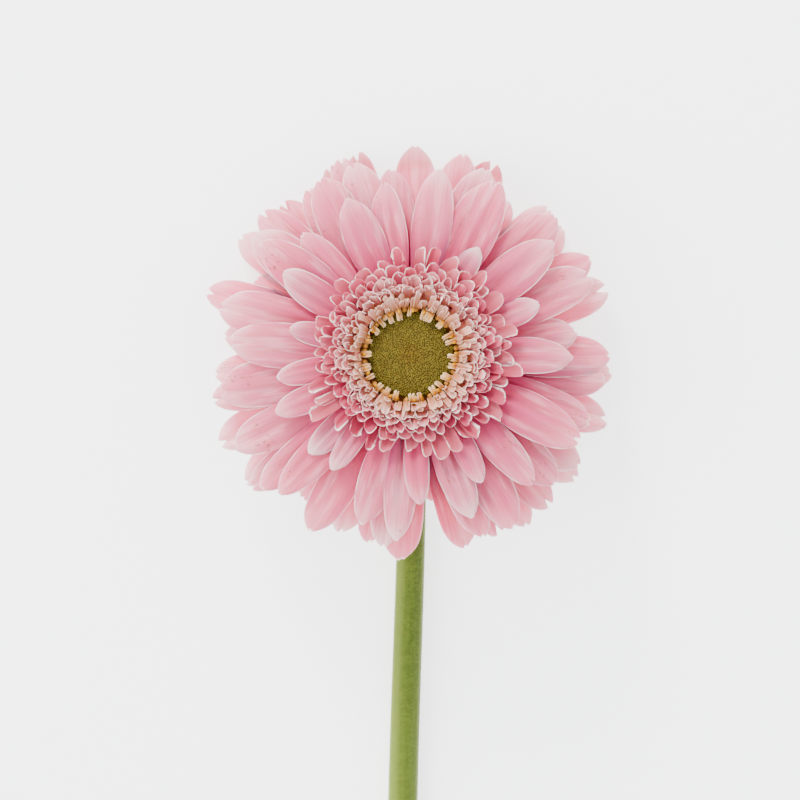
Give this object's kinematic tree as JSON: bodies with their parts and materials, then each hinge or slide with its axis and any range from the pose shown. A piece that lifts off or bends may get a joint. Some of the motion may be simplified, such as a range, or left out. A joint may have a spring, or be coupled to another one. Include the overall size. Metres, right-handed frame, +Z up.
{
  "type": "cut gerbera",
  "caption": "Cut gerbera with pale pink petals, a ruffled ring of short florets round a green eye and a fuzzy green stem with a bent neck, lying on a table.",
  "frame": {"origin": "on the table under the middle of the part's bounding box", "axes": "+Z up from the table, +Y along the stem from the cut end to the bloom, +X to the right as the bloom's face is looked at with the stem below it"},
  "size_m": [0.1095, 0.3805, 0.0479],
  "materials": {
    "petal_pink": "soft matte petal, slightly translucent",
    "collar_rose": "soft matte petal, rose inside with pale rims",
    "floret_cream": "soft matte petal",
    "bud_green": "granular, satin bud tips",
    "bract_green": "matte leaf with fine down",
    "stem_green": "satin skin under fine white hairs"
  },
  "bodies": {
    "root": {"ray_florets": "petal_pink", "collar_florets": "collar_rose", "cream_florets": "floret_cream", "eye": "bud_green", "bract_cup": "bract_green", "stem": "stem_green"}
  },
  "joints": []
}
